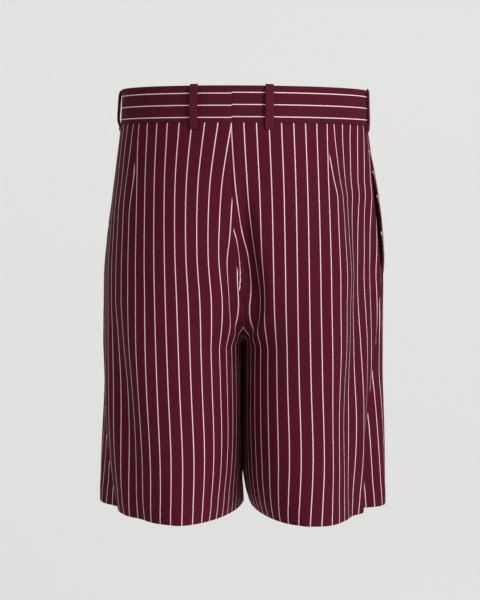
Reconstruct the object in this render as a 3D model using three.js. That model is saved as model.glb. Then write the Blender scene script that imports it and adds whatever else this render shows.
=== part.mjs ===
// Bermuda shorts in pinstriped cloth, filled out as worn and hollow. Sizes are in millimetres and +Z is up.
// The back of the garment faces -Y, and the wearer's right is +X. The origin is the middle of the waist
// opening, level with the waistband's top edge.
import * as THREE from 'three';

// Driving dimensions
const BAND_HEIGHT = 42;
const LENGTH = 503; // from the waistband's top edge down to the hem
const CROTCH_DROP = 302; // from the waistband's top edge down to the crotch
const CURVE_DROP = 202; // where the centre seams leave the seat and start to turn under
const CURVE_ROUNDNESS = 2.2; // of the curve under the seat, where 2 is an ellipse
const STRAIGHT_DROP = 252; // below this the centre seams run in the garment's middle plane
const CLOTH = 1.6;
const HEM_CLOTH = 3; // the turned-up hem is double
const HEM_DEPTH = 24;
const BAND_CLOTH = 2.8;
const BAND_PROUD = 0.6; // the band's face stands this far in front of the panels
const SEAM = 0.3; // space between two pieces that are sewn together
const PARTING = SEAM / 2; // each piece's share of that space
const PANEL_TOP = -(BAND_HEIGHT + SEAM); // height of the panels' upper edge
const BAG_CLOTH = 1.2;
const FLY_CLOTH = 1.4;
const FLY_WIDTH = 34;
const FLY_OVERLAP = 4;
const FLY_DROP = 198;
const FLY_CURVE = 30; // height of the curve at the fly's lower end
const OVERLAP_LENGTH = 32; // how far the band's left end passes the centre front
const RAMP_START = -30; // the left end starts to lift over the right one here, from the centre front
const RAMP_END = -10;
const LOOP_WIDTH = 9.5;
const LOOP_CLOTH = 1.8;
const BUTTON_RADIUS = 8.5;
const BUTTON_HEIGHT = 3.2;
const BUTTON_RIM = 2;
const BUTTON_DISH = 1; // depth of the hollow inside the rim
const BUTTON_SIDES = 24;
const BUTTON_DROP = 21;

// Grid of a panel: columns from side seam to inner edge, rows on the centre seam's three stretches
const PANEL_COLUMNS = 22;
const SEAT_ROWS = 8;
const CURVE_ROWS = 8;
const LEG_ROWS = 8;
const PANEL_ROWS = SEAT_ROWS + CURVE_ROWS + LEG_ROWS;
const BAND_COLUMNS = 44;
const BAND_ROWS = 2;
const LOOP_COLUMNS = 2;
const FLY_COLUMNS = 4;
const FLY_ROWS = 12;
const BAG_COLUMNS = 10;
const BAG_ROWS = 8;
const SECTION_STEPS = 36; // points worked out on each quarter of a section
const NORMAL_REACH = 1.5; // the face's direction is taken between points this far to either side

// The form that the cloth is filled out to. Half is half its width, peak is how far from the middle the back
// and front are deepest, back and front are those depths, and middle is the depth at the centre seam over
// the deepest one.
const FORM = [
  { z: 6, half: 147, peak: 1, back: 105.5, front: 103.5, middle: 0.999 },
  { z: 0, half: 147.3, peak: 2, back: 106, front: 104, middle: 0.999 },
  { z: -42, half: 149.4, peak: 8, back: 109.5, front: 107, middle: 0.999 },
  { z: -80, half: 154.2, peak: 24, back: 118, front: 111, middle: 0.998 },
  { z: -122, half: 159.8, peak: 42, back: 127.5, front: 113.5, middle: 0.992 },
  { z: -162, half: 164.5, peak: 54, back: 133.5, front: 114, middle: 0.983 },
  { z: -211, half: 169.8, peak: 64, back: 135.5, front: 113, middle: 0.968 },
  { z: -262, half: 170.7, peak: 73, back: 132, front: 110, middle: 0.96 },
  { z: -305, half: 171, peak: 79, back: 129, front: 108, middle: 0.96 },
  { z: -347, half: 171.4, peak: 80, back: 128, front: 107, middle: 0.96 },
  { z: -402, half: 173.8, peak: 79, back: 129.5, front: 107, middle: 0.96 },
  { z: -462, half: 175.6, peak: 76, back: 135, front: 109, middle: 0.96 },
  { z: -503, half: 176.4, peak: 74, back: 140, front: 111, middle: 0.96 },
];

// Roundness of each quarter of a section: 2 is an ellipse, less is flatter and more is squarer
const ROUNDNESS = [
  { z: 0, outerLeft: 2, outerRight: 2, inner: 2, front: 2.05 },
  { z: -302, outerLeft: 2.05, outerRight: 2.05, inner: 2, front: 2.15 },
  { z: -402, outerLeft: 1.8, outerRight: 2, inner: 1.95, front: 2.1 },
  { z: -503, outerLeft: 1.45, outerRight: 1.95, inner: 1.7, front: 2 },
];

// Where the seams lie: turn is how far the whole garment is turned round the form, towards -X at the back.
// Right and left are how far each side seam lies behind the widest point.
const SEAMS = [
  { z: 0, turn: 15, right: 15, left: -15 },
  { z: -42, turn: 15, right: 15, left: -15 },
  { z: -118, turn: 14, right: 24, left: -14 },
  { z: -185, turn: 9.5, right: 29, left: -10 },
  { z: -220, turn: 3.5, right: 29, left: -6 },
  { z: -252, turn: 0, right: 33, left: -3 },
  { z: -302, turn: 0, right: 38, left: 4 },
  { z: -386, turn: 0, right: 51, left: 18 },
  { z: -503, turn: 0, right: 54, left: 50 },
];

// How far each leg's inseam lies from the middle plane: the legs nearly touch until just above the hem
const LEG_SPACE = [
  { z: -302, left: 0.15, right: 0.15 },
  { z: -332, left: 0.5, right: 0.5 },
  { z: -442, left: 0.5, right: 0.8 },
  { z: -476, left: 0.2, right: 2.4 },
  { z: -503, left: -1.5, right: 9 },
];

// Largest folds. Start and end are their distances behind the side seam at the heights from and to, so a
// negative one lies on the front. Rise is their height, or their depth where it is negative.
const FOLDS = [
  { leg: 'right', from: -40, to: -540, start: 56, end: 58, width: 36, rise: -19, shape: 'even' },
  { leg: 'right', from: -60, to: -430, start: 26, end: 14, width: 13, rise: -4, shape: 'spindle' },
  { leg: 'right', from: -230, to: -503, start: 4, end: 0, width: 17, rise: -25, shape: 'open' },
  { leg: 'right', from: -290, to: -503, start: 40, end: 40, width: 34, rise: -12, shape: 'open' },
  { leg: 'right', from: -250, to: -503, start: -110, end: -112, width: 22, rise: -6, shape: 'open' },
  { leg: 'right', from: -240, to: -503, start: -158, end: -150, width: 20, rise: 4, shape: 'open' },
  { leg: 'left', from: -300, to: -503, start: 4, end: 0, width: 20, rise: -11, shape: 'open' },
  { leg: 'left', from: -80, to: -330, start: 34, end: 40, width: 14, rise: -2.2, shape: 'spindle' },
  { leg: 'left', from: -260, to: -503, start: -78, end: -84, width: 22, rise: -6, shape: 'open' },
  { leg: 'left', from: -230, to: -503, start: -136, end: -130, width: 20, rise: 4, shape: 'open' },
];

// How a fold's strength goes with the share along it: an even one fades late, and an open one is strongest at
// its lower end
const FOLD_SHAPES = {
  spindle: (along) => Math.sin(Math.PI * along),
  even: (along) => Math.sin(Math.PI * along) ** 0.5,
  open: (along) => along ** 1.2,
};

// Side pockets in the side seams: the front edge of each stands open
const POCKET_TOP = -76;
const POCKET_BOTTOM = -220;
const POCKET_REACH = 46; // how far forward of the seam the front panel lifts
const POCKET_LIFT = { right: 5.4, left: 3 };
const BAG_FRONT = 104;
const BAG_BEHIND = 9;
const BAG_TOP = -46;
const BAG_BOTTOM = -234;
const BAG_BELLY = 26;

// Belt loops: distance is measured along the band from the seam of that place
const LOOPS = [
  { place: 'back', leg: 'left', distance: -43, slack: 1 },
  { place: 'back', leg: 'right', distance: 43, slack: 1 },
  { place: 'side', leg: 'left', distance: 0, slack: 1 },
  { place: 'side', leg: 'right', distance: 0, slack: 0.25 },
  { place: 'front', leg: 'left', distance: 82, slack: 1 },
  { place: 'front', leg: 'right', distance: -82, slack: 1 },
];

// How far a loop stands off the form at each height, flat, and at full slack
const LOOP_COURSE = [
  { z: 1.6, flat: 0.95, full: 0.95 },
  { z: -3, flat: 0.95, full: 3.2 },
  { z: -12, flat: 0.95, full: 3.7 },
  { z: -22, flat: 0.95, full: 3.7 },
  { z: -32, flat: 0.95, full: 3.6 },
  { z: -39, flat: 0.95, full: 2.8 },
  { z: -44, flat: 0.95, full: 1.2 },
  { z: -50, flat: 0.4, full: 0.4 },
];

const BURGUNDY = { color: 0x5a1a2b, roughness: 0.82, metalness: 0 };
const DARK_LINING = { color: 0x2a0c14, roughness: 0.9, metalness: 0 };
const HORN = { color: 0x3a1620, roughness: 0.4, metalness: 0 };

/** Value of a table's column at a height, on a smooth curve through its rows. */
function sample(table, column, z) {
  const last = table.length - 1;
  let row = 0;
  while (row < last - 1 && z < table[row + 1].z) row += 1;
  const a = table[row];
  const b = table[row + 1];
  const before = table[Math.max(row - 1, 0)];
  const after = table[Math.min(row + 2, last)];
  const rise = (from, to) => ((to[column] - from[column]) / (to.z - from.z)) * (b.z - a.z);
  const t = THREE.MathUtils.clamp((z - a.z) / (b.z - a.z), 0, 1);
  const t2 = t * t;
  const t3 = t2 * t;
  return (2 * t3 - 3 * t2 + 1) * a[column] + (t3 - 2 * t2 + t) * rise(before, b)
    + (3 * t2 - 2 * t3) * b[column] + (t3 - t2) * rise(a, after);
}

/** Share of the seat's depth that the centre seam still has at a height, on its way under to the crotch. */
function curveShare(z) {
  const along = (-z - CURVE_DROP) / (CROTCH_DROP - CURVE_DROP);
  if (along <= 0) return 1;
  if (along >= 1) return 0;
  return (1 - along ** CURVE_ROUNDNESS) ** (1 / CURVE_ROUNDNESS);
}

/** Half of the form's section at a height, from the back middle round to the front middle, as points. */
function halfSection(z, leg) {
  const value = (column) => sample(FORM, column, z);
  const half = value('half');
  const peak = value('peak');
  const depths = { back: value('back'), front: value('front') };
  const outerColumn = leg === 'left' ? 'outerLeft' : 'outerRight';
  const outer = { back: sample(ROUNDNESS, outerColumn, z), front: sample(ROUNDNESS, 'front', z) };
  const inner = sample(ROUNDNESS, 'inner', z);
  const share = value('middle') * curveShare(z);
  const above = z > -CROTCH_DROP;
  const reach = above ? peak / (1 - share ** inner) ** (1 / inner) : peak - sample(LEG_SPACE, leg, z);
  const lastAngle = above ? Math.asin(Math.min(1, (peak / reach) ** (inner / 2))) : Math.PI / 2;
  const quarter = (face, isInner) => {
    const sign = face === 'back' ? -1 : 1;
    const power = 2 / (isInner ? inner : outer[face]);
    const points = [];
    for (let step = 0; step <= SECTION_STEPS; step += 1) {
      const angle = (step / SECTION_STEPS) * (isInner ? lastAngle : Math.PI / 2);
      const across = Math.sin(angle) ** power;
      const deep = Math.max(0, Math.cos(angle)) ** power;
      const x = isInner ? peak - reach * across : peak + (half - peak) * across;
      points.push([x, sign * depths[face] * deep]);
    }
    return points;
  };
  const backInner = quarter('back', true).reverse();
  const backOuter = quarter('back', false).slice(1);
  const frontOuter = quarter('front', false).reverse().slice(1);
  const frontInner = quarter('front', true).slice(1);
  return { points: [...backInner, ...backOuter, ...frontOuter, ...frontInner], widest: 2 * SECTION_STEPS };
}

const sections = new Map();

/** A half section with the arc length up to each of its points; each height is worked out once. */
function section(z, leg) {
  const key = `${leg} ${z.toFixed(4)}`;
  if (sections.has(key)) return sections.get(key);
  const { points, widest } = halfSection(z, leg);
  const arcs = [0];
  for (let k = 1; k < points.length; k += 1) {
    arcs.push(arcs[k - 1] + Math.hypot(points[k][0] - points[k - 1][0], points[k][1] - points[k - 1][1]));
  }
  const made = { points, arcs, total: arcs[arcs.length - 1], side: arcs[widest] };
  sections.set(key, made);
  return made;
}

/** The form's point at a height and an arc length from the back middle, positive towards the right leg. */
function formPoint(z, leg, arc) {
  const own = leg === 'right' ? 1 : -1;
  const { points, arcs, total } = section(z, leg);
  let away = arc * own;
  let side = own;
  if (z > -STRAIGHT_DROP) {
    if (away < 0) {
      away = -away;
      side = -own;
    } else if (away > total) {
      away = 2 * total - away;
      side = -own;
    }
  } else if (z > -CROTCH_DROP) {
    away = THREE.MathUtils.clamp(away, 0, total);
  } else {
    away = (away + total) % total;
  }
  let low = 0;
  let high = arcs.length - 1;
  while (high - low > 1) {
    const middle = (low + high) >> 1;
    if (arcs[middle] > away) high = middle;
    else low = middle;
  }
  const share = (away - arcs[low]) / Math.max(arcs[high] - arcs[low], 1e-9);
  const [x0, y0] = points[low];
  const [x1, y1] = points[high];
  return [side * (x0 + (x1 - x0) * share), y0 + (y1 - y0) * share];
}

/** Height of all the folds at a height and a distance behind the side seam. */
function foldRise(z, leg, behind) {
  let rise = 0;
  for (const fold of FOLDS) {
    if (fold.leg !== leg || z > fold.from) continue;
    const along = Math.min(1, (z - fold.from) / (fold.to - fold.from));
    const strength = along < 1 || fold.shape === 'open' ? FOLD_SHAPES[fold.shape](along) : 0;
    const middle = fold.start + (fold.end - fold.start) * along;
    rise += fold.rise * strength * Math.exp(-(((behind - middle) / fold.width) ** 2));
  }
  return rise;
}

/** Arc length of a leg's side seam, and of the two centre seams, at a height. */
function seamArcs(z, leg) {
  const own = leg === 'right' ? 1 : -1;
  const { total, side } = section(z, leg);
  const turn = z > -STRAIGHT_DROP ? sample(SEAMS, 'turn', z) : 0;
  return {
    side: own * (side - sample(SEAMS, leg, z)),
    back: -turn,
    front: own * total - turn,
  };
}

/** Point of the garment's face at a height and an arc length, moved out by a distance. */
function facePoint(z, leg, arc, out) {
  const [x, y] = formPoint(z, leg, arc);
  const [xa, ya] = formPoint(z, leg, arc - NORMAL_REACH);
  const [xb, yb] = formPoint(z, leg, arc + NORMAL_REACH);
  const length = Math.hypot(xb - xa, yb - ya) || 1;
  const own = leg === 'right' ? 1 : -1;
  const behind = own * (seamArcs(z, leg).side - arc);
  const move = out + foldRise(z, leg, behind);
  return new THREE.Vector3(x + ((yb - ya) / length) * move, y - ((xb - xa) / length) * move, z);
}

/** A closed wall from its points at shares across and down, at depth 0 outside and 1 inside. */
function wall(columns, rows, pointAt) {
  const positions = [];
  for (const depth of [0, 1]) {
    for (let row = 0; row <= rows; row += 1) {
      for (let column = 0; column <= columns; column += 1) {
        positions.push(...pointAt(column / columns, row / rows, depth).toArray());
      }
    }
  }
  const outer = (column, row) => row * (columns + 1) + column;
  const inner = (column, row) => outer(column, row + rows + 1);
  const faces = [];
  const quad = (a, b, c, d) => faces.push(a, b, c, a, c, d);
  for (let row = 0; row < rows; row += 1) {
    const next = row + 1;
    for (let column = 0; column < columns; column += 1) {
      const beside = column + 1;
      quad(outer(column, row), outer(column, next), outer(beside, next), outer(beside, row));
      quad(inner(column, row), inner(beside, row), inner(beside, next), inner(column, next));
    }
    quad(outer(0, row), inner(0, row), inner(0, next), outer(0, next));
    quad(outer(columns, row), outer(columns, next), inner(columns, next), inner(columns, row));
  }
  for (let column = 0; column < columns; column += 1) {
    const beside = column + 1;
    quad(outer(column, 0), outer(beside, 0), inner(beside, 0), inner(column, 0));
    quad(outer(column, rows), inner(column, rows), inner(beside, rows), outer(beside, rows));
  }
  return outwardGeometry(positions, faces);
}

/** An indexed geometry whose faces are turned over if they enclose a negative volume. */
function outwardGeometry(positions, faces) {
  const corner = (k) => new THREE.Vector3().fromArray(positions, 3 * k);
  let volume = 0;
  for (let k = 0; k < faces.length; k += 3) {
    volume += corner(faces[k]).dot(corner(faces[k + 1]).cross(corner(faces[k + 2])));
  }
  const ordered = volume < 0 ? faces.slice().reverse() : faces;
  const geometry = new THREE.BufferGeometry();
  geometry.setAttribute('position', new THREE.Float32BufferAttribute(positions, 3));
  geometry.setIndex(ordered);
  geometry.computeVertexNormals();
  return geometry;
}

/** Height of a panel's grid row on its centre seam and inseam, from the share of its rows above. */
function innerHeight(share) {
  const row = share * PANEL_ROWS;
  if (row <= SEAT_ROWS) return PANEL_TOP + (-CURVE_DROP - PANEL_TOP) * (row / SEAT_ROWS);
  if (row <= SEAT_ROWS + CURVE_ROWS) {
    const angle = ((row - SEAT_ROWS) / CURVE_ROWS) * (Math.PI / 2);
    return -CURVE_DROP - (CROTCH_DROP - CURVE_DROP) * Math.sin(angle) ** (2 / CURVE_ROUNDNESS);
  }
  return -CROTCH_DROP - (LENGTH - CROTCH_DROP) * ((row - SEAT_ROWS - CURVE_ROWS) / LEG_ROWS);
}

/** How far a pocket's edge lifts the front panel at a height and a distance in front of the side seam. */
function pocketLift(z, leg, ahead) {
  if (z > POCKET_TOP || z < POCKET_BOTTOM) return 0;
  const along = (POCKET_TOP - z) / (POCKET_TOP - POCKET_BOTTOM);
  const near = Math.max(0, 1 - ahead / POCKET_REACH);
  return POCKET_LIFT[leg] * Math.sin(Math.PI * along ** 1.25) ** 0.7 * near * near;
}

/** One of the four panels: a leg's back or front, from the waist seam to the hem. */
function panel(leg, face) {
  const own = leg === 'right' ? 1 : -1;
  const pointAt = (across, down, depth) => {
    const sideZ = PANEL_TOP + (-LENGTH - PANEL_TOP) * down;
    const z = sideZ + (innerHeight(down) - sideZ) * across * across;
    const inwards = face === 'back' ? -own : own;
    const inner = seamArcs(innerHeight(down), leg);
    const breadth = Math.abs(inner[face] - inner.side) - 2 * PARTING;
    const side = seamArcs(z, leg).side;
    const arc = side + inwards * (PARTING + breadth * across);
    const cloth = z < -(LENGTH - HEM_DEPTH) ? HEM_CLOTH : CLOTH;
    const lift = face === 'front' ? pocketLift(z, leg, own * (arc - side)) : 0;
    const point = facePoint(z, leg, arc, lift - depth * cloth);
    if (z <= -STRAIGHT_DROP && z > LEG_SPACE[1].z) point.x = own * Math.max(own * point.x, PARTING);
    return point;
  };
  return wall(PANEL_COLUMNS, PANEL_ROWS, pointAt);
}

/** Half of the waistband, from the centre back to the centre front; the left one passes it. */
function waistband(leg) {
  const own = leg === 'right' ? 1 : -1;
  const passed = leg === 'left' ? OVERLAP_LENGTH : -PARTING;
  const pointAt = (across, down, depth) => {
    const z = -BAND_HEIGHT * down;
    const { back, front } = seamArcs(z, leg);
    const start = back + own * PARTING;
    const arc = start + (front + own * passed - start) * across;
    const ramp = leg === 'left' ? THREE.MathUtils.smoothstep(own * (arc - front), RAMP_START, RAMP_END) : 0;
    const out = BAND_PROUD + ramp * (BAND_CLOTH + SEAM) - depth * BAND_CLOTH;
    return facePoint(z, leg, arc, out);
  };
  return wall(BAND_COLUMNS, BAND_ROWS, pointAt);
}

/** A belt loop: a strip that is sewn down at both ends and stands off the band between them. */
function beltLoop(loop) {
  const middle = seamArcs(0, loop.leg)[loop.place] + loop.distance;
  const last = LOOP_COURSE.length - 1;
  const pointAt = (across, down, depth) => {
    const row = LOOP_COURSE[Math.round(down * last)];
    const inside = row.flat + (row.full - row.flat) * loop.slack;
    const arc = middle + (across - 0.5) * LOOP_WIDTH;
    return facePoint(row.z, loop.leg, arc, inside + (1 - depth) * LOOP_CLOTH);
  };
  return wall(LOOP_COLUMNS, last, pointAt);
}

/** The fly: a strip with a curved lower end, over the centre front seam. */
function fly() {
  const pointAt = (across, down, depth) => {
    const z = PANEL_TOP + (-FLY_DROP - PANEL_TOP) * down;
    const low = Math.max(0, (-FLY_DROP + FLY_CURVE - z) / FLY_CURVE);
    const width = FLY_WIDTH * Math.sqrt(Math.max(0, 1 - low * low)) + FLY_OVERLAP;
    const arc = seamArcs(z, 'left').front - FLY_OVERLAP + Math.max(width, 2 * FLY_OVERLAP) * across;
    return facePoint(z, 'left', arc, SEAM + (1 - depth) * FLY_CLOTH);
  };
  return wall(FLY_COLUMNS, FLY_ROWS, pointAt);
}

/** A pocket bag's inner layer, behind the front panel and just under the back panel's edge. */
function pocketBag(leg) {
  const own = leg === 'right' ? 1 : -1;
  const pointAt = (across, down, depth) => {
    const low = BAG_BOTTOM - BAG_BELLY * Math.sin(Math.PI * across);
    const z = BAG_TOP + (low - BAG_TOP) * down;
    const arc = seamArcs(z, leg).side + own * (-BAG_BEHIND + (BAG_FRONT + BAG_BEHIND) * across);
    return facePoint(z, leg, arc, -(CLOTH + 2 * SEAM) - depth * BAG_CLOTH);
  };
  return wall(BAG_COLUMNS, BAG_ROWS, pointAt);
}

/** The waistband's button, a turned disc with a rim, its back on the band's overlapping end. */
function buttonGeometry() {
  const face = BUTTON_HEIGHT - BUTTON_DISH;
  const profile = [
    [0, 0],
    [BUTTON_RADIUS - 1.5, 0],
    [BUTTON_RADIUS, face],
    [BUTTON_RADIUS - BUTTON_RIM / 3, BUTTON_HEIGHT],
    [BUTTON_RADIUS - BUTTON_RIM, BUTTON_HEIGHT],
    [BUTTON_RADIUS - BUTTON_RIM - BUTTON_DISH, face],
    [0, face],
  ].map(([radius, height]) => new THREE.Vector2(radius, height));
  return new THREE.LatheGeometry(profile, BUTTON_SIDES);
}

/** A named mesh with a material of its own. */
function piece(name, geometry, finish) {
  const mesh = new THREE.Mesh(geometry, new THREE.MeshStandardMaterial(finish));
  mesh.name = name;
  return mesh;
}

const shorts = new THREE.Group();
for (const leg of ['left', 'right']) {
  shorts.add(piece(`back_panel_${leg}`, panel(leg, 'back'), BURGUNDY));
  shorts.add(piece(`front_panel_${leg}`, panel(leg, 'front'), BURGUNDY));
  shorts.add(piece(`waistband_${leg}`, waistband(leg), BURGUNDY));
  shorts.add(piece(`pocket_bag_${leg}`, pocketBag(leg), DARK_LINING));
}
for (const loop of LOOPS) {
  shorts.add(piece(`belt_loop_${loop.place}_${loop.leg}`, beltLoop(loop), BURGUNDY));
}
shorts.add(piece('fly', fly(), BURGUNDY));

const buttonArc = seamArcs(-BUTTON_DROP, 'left').front - OVERLAP_LENGTH / 2;
const buttonOut = BAND_PROUD + BAND_CLOTH + 2 * SEAM;
const buttonPoint = (up, along) => facePoint(up - BUTTON_DROP, 'left', buttonArc + along, buttonOut);
const upward = buttonPoint(BUTTON_RADIUS, 0).sub(buttonPoint(-BUTTON_RADIUS, 0));
const sideways = buttonPoint(0, BUTTON_RADIUS).sub(buttonPoint(0, -BUTTON_RADIUS));
const button = piece('waistband_button', buttonGeometry(), HORN);
button.position.copy(buttonPoint(0, 0));
button.quaternion.setFromUnitVectors(new THREE.Vector3(0, 1, 0), sideways.cross(upward).normalize());
shorts.add(button);

export default shorts;
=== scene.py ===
"""Dresses the bermuda shorts: pinstriped cloth panels on the worn, hollow form, with their seams and folds.

Sizes are in millimetres until a mesh is finished, and +Z is up. The garment's back faces -Y.
"""

from __future__ import annotations

import logging
import math
from collections.abc import Iterable
from dataclasses import dataclass
from enum import Enum

import bmesh
import bpy
import numpy as np
from mathutils import Matrix, Vector
from numpy.typing import NDArray


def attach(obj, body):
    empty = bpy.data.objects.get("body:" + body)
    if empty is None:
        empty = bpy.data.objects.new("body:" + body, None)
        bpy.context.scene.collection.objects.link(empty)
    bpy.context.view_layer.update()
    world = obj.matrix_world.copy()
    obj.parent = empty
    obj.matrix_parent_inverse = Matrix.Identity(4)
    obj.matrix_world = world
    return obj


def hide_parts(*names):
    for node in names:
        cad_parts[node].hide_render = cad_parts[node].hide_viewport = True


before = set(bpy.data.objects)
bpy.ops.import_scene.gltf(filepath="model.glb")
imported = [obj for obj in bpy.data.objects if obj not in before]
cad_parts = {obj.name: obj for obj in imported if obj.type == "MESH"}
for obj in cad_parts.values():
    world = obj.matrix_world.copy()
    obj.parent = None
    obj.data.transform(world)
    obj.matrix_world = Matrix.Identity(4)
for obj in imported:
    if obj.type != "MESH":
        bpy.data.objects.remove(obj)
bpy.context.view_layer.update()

Array = NDArray[np.float64]
Colour = tuple[float, float, float, float]
MM = 0.001
LOG = logging.getLogger("shorts")

BAND_HEIGHT = 42.0
LENGTH = 503.0  # from the waistband's top edge down to the hem
CROTCH_DROP = 302.0
CURVE_DROP = 202.0  # where the centre seams start to turn under the seat
CURVE_ROUNDNESS = 2.2
STRAIGHT_DROP = 252.0
LEGS_PART = 478.0  # down to here the legs touch
SEAM = 0.3
PARTING = 0.01  # from each panel's edge to its seam
SEAM_HOLD = 6.0  # how far from a seam the cloth is still held by it
PANEL_TOP = -(BAND_HEIGHT + SEAM)
NORMAL_REACH = 1.5
SECTION_STEPS = 48
HEM_DEPTH = 24.0
CLOTH = 1.6

BAND_CLOTH = 2.8
BAND_PROUD = 0.6  # the band's face stands this far in front of the panels
BAND_FIRST_STRIPE = 9.0  # below the band's top edge
BAND_PITCH = 13.8
BAND_PARTING = 0.05
OVERLAP_LENGTH = 32.0
RAMP_START, RAMP_END = -30.0, -10.0

LOOP_WIDTH = 9.5
LOOP_CLOTH = 1.8
LOOP_TOP, LOOP_LOW = 1.6, -50.0
LOOP_TACKS = (-1.5, -46.5)

FLY_CLOTH = 1.4
FLY_WIDTH = 34.0
FLY_OVERLAP = 4.0
FLY_DROP = 198.0
FLY_CURVE = 30.0

BAG_FRONT, BAG_BEHIND = 104.0, 9.0
BAG_TOP, BAG_BOTTOM, BAG_BELLY = -46.0, -234.0, 26.0
POCKET_TOP, POCKET_BOTTOM = -76.0, -220.0
POCKET_REACH = 46.0
POCKET_STITCH = 6.0

BUTTON_RADIUS = 8.5
BUTTON_HEIGHT = 3.2
BUTTON_RIM = 2.0
BUTTON_DISH = 1.0
BUTTON_DROP = 21.0

STITCH_LENGTH = 2.2
STITCH_STEP = 3.0


class Leg(Enum):
    """A side of the garment, as its wearer has it."""

    LEFT = "left"
    RIGHT = "right"

    @property
    def own(self) -> float:
        """The side's sign along X."""
        return 1.0 if self is Leg.RIGHT else -1.0


class Face(Enum):
    """The back or the front of a leg."""

    BACK = "back"
    FRONT = "front"


class Shape(Enum):
    """How a fold's strength goes from its upper to its lower end."""

    SPINDLE = "spindle"
    SOFT = "soft"
    EVEN = "even"
    OPEN = "open"


class Table:
    """Rows of values by falling height, read on a smooth curve through them."""

    def __init__(self, columns: str, *rows: tuple[float, ...]) -> None:
        """Keep the rows under their columns' names.

        Args:
            columns: Names of the columns, of which the first is the height.
            rows: The rows, from the highest to the lowest.
        """
        names = columns.split()
        self.values = dict(zip(names, np.array(rows, dtype=float).T))
        self.heights = self.values[names[0]]

    def at(self, column: str, z: Array) -> Array:
        """Read a column at some heights.

        Args:
            column: Name of the column.
            z: The heights.

        Returns:
            The column's values there.
        """
        knots, held = self.heights, self.values[column]
        last = len(knots) - 1
        row = np.clip(np.searchsorted(-knots, -np.asarray(z, dtype=float)) - 1, 0, last - 1)
        before, after = np.maximum(row - 1, 0), np.minimum(row + 2, last)
        span = knots[row + 1] - knots[row]
        rise_a = (held[row + 1] - held[before]) / (knots[row + 1] - knots[before]) * span
        rise_b = (held[after] - held[row]) / (knots[after] - knots[row]) * span
        t = np.clip((z - knots[row]) / span, 0.0, 1.0)
        t2, t3 = t * t, t * t * t
        upper = (2 * t3 - 3 * t2 + 1) * held[row] + (t3 - 2 * t2 + t) * rise_a
        return upper + (3 * t2 - 2 * t3) * held[row + 1] + (t3 - t2) * rise_b


FORM = Table(
    "z half peak back front middle",
    (6, 147, 1, 105.5, 103.5, 0.999),
    (0, 147.3, 2, 106, 104, 0.999),
    (-42, 149.4, 8, 109.5, 107, 0.999),
    (-80, 154.2, 24, 118, 111, 0.998),
    (-122, 159.8, 42, 127.5, 113.5, 0.992),
    (-162, 164.5, 54, 133.5, 114, 0.983),
    (-211, 169.8, 64, 135.5, 113, 0.968),
    (-262, 170.7, 73, 132, 110, 0.96),
    (-305, 171, 79, 129, 108, 0.96),
    (-347, 171.4, 80, 128, 107, 0.96),
    (-402, 173.8, 79, 129.5, 107, 0.96),
    (-462, 175.6, 76, 135, 109, 0.96),
    (-503, 176.4, 74, 140, 111, 0.96),
)
ROUNDNESS = Table(
    "z left right inner front",
    (0, 2, 2, 2, 2.05),
    (-230, 2, 2, 2, 2.1),
    (-302, 2.05, 2.05, 2.4, 2.15),
    (-350, 1.95, 2.05, 2.5, 2.13),
    (-402, 1.8, 2, 2.5, 2.1),
    (-450, 1.65, 2, 2.2, 2.05),
    (-503, 1.45, 1.95, 1.7, 2),
)
SEAMS = Table(
    "z turn right left",
    (0, 15, 15, -15),
    (-42, 15, 15, -15),
    (-118, 14, 24, -14),
    (-185, 9.5, 29, -10),
    (-220, 3.5, 29, -6),
    (-252, 0, 33, -3),
    (-302, 0, 38, 4),
    (-386, 0, 51, 18),
    (-503, 0, 54, 50),
)
LEG_SPACE = Table(
    "z left right",
    (-302, 0.15, 0.15),
    (-332, 0.2, 0.2),
    (-450, 0.2, 0.3),
    (-476, 0.2, 2.4),
    (-503, -1.5, 9),
)


LOOP_COURSE = Table(
    "z flat full",
    (1.6, 0.95, 0.95),
    (-3, 0.95, 3.2),
    (-12, 0.95, 3.7),
    (-22, 0.95, 3.7),
    (-32, 0.95, 3.6),
    (-39, 0.95, 2.8),
    (-44, 0.95, 1.2),
    (-50, 0.4, 0.4),
)
# Each loop's seam, leg, distance from that seam and slack
LOOPS = (
    ("back", Leg.LEFT, -43.0, 1.0),
    ("back", Leg.RIGHT, 43.0, 1.0),
    ("side", Leg.LEFT, 0.0, 1.5),
    ("side", Leg.RIGHT, 0.0, 0.25),
    ("front", Leg.LEFT, 82.0, 1.0),
    ("front", Leg.RIGHT, -82.0, 1.0),
)
POCKET_LIFT = {Leg.RIGHT: 5.4, Leg.LEFT: 3.0}
BAND_SHIFT = {Leg.RIGHT: 0.07, Leg.LEFT: 0.0}  # the stripes miss each other a little at the centre back


class Anchor(Enum):
    """The seam that a fold's distances are measured from."""

    SIDE = "side"
    CENTRE = "centre"


@dataclass(frozen=True)
class Fold:
    """A soft ridge or trough down the cloth.

    Its distances are behind the side seam of its leg, or from the centre back seam towards the right leg.
    """

    leg: Leg | None
    top: float
    low: float
    start: float
    end: float
    width: float
    rise: float
    shape: Shape = Shape.SPINDLE
    anchor: Anchor = Anchor.SIDE

    def height(self, z: Array, distance: Array) -> Array:
        """The fold's height on the cloth.

        Args:
            z: Heights of the points.
            distance: Their distances from the fold's seam.

        Returns:
            How far each point is lifted.
        """
        along = np.clip((z - self.top) / (self.low - self.top), 0.0, 1.0)
        bow = np.abs(np.sin(np.pi * along))
        strength = {
            Shape.SPINDLE: bow,
            Shape.SOFT: bow * bow,
            Shape.EVEN: np.sqrt(bow),
            Shape.OPEN: along**1.2,
        }[self.shape]
        middle = self.start + (self.end - self.start) * along
        if self.anchor is Anchor.CENTRE and self.leg is not None:
            # A fold on one side only leaves the seam itself in its place
            strength = strength * (1 - np.exp(-((distance / SEAM_HOLD) ** 2)))
        return self.rise * strength * np.exp(-(((distance - middle) / self.width) ** 2))


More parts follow.
